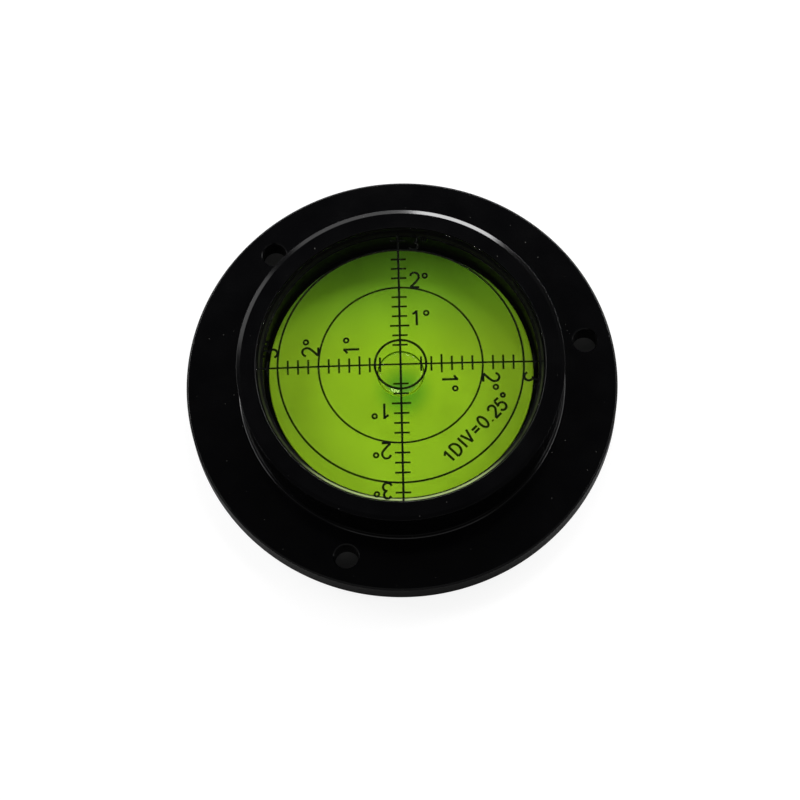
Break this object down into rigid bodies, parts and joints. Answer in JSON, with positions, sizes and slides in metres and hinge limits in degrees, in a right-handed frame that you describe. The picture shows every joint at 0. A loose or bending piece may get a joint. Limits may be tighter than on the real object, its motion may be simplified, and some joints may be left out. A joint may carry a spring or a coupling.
{
  "type": "bullseye level",
  "caption": "Round bubble level: green spirit under a cover glass with degree circles and a cross, in a black flanged housing for screw mounting.",
  "frame": {"origin": "centre of the housing's flat back face", "axes": "+Z along the housing's axis, out through the cover glass; the arms of the cross lie along X and Y"},
  "size_m": [0.08, 0.08, 0.016],
  "materials": {
    "black_anodised": "black anodised over fine turning, satin",
    "white_disc": "smooth opal white",
    "seal": "pale translucent flat ring",
    "cover_glass": "clear, polished",
    "ink": "dark fill in engraved lines",
    "spirit": "clear yellow-green spirit",
    "screw_steel": "plain stainless"
  },
  "bodies": {
    "root": {"housing": "black_anodised", "floor_disc": "white_disc", "cover_seal": "seal", "cover_glass": "cover_glass", "graticule": "ink", "spirit_fluid": "spirit", "filler_screw": "screw_steel"}
  },
  "joints": []
}
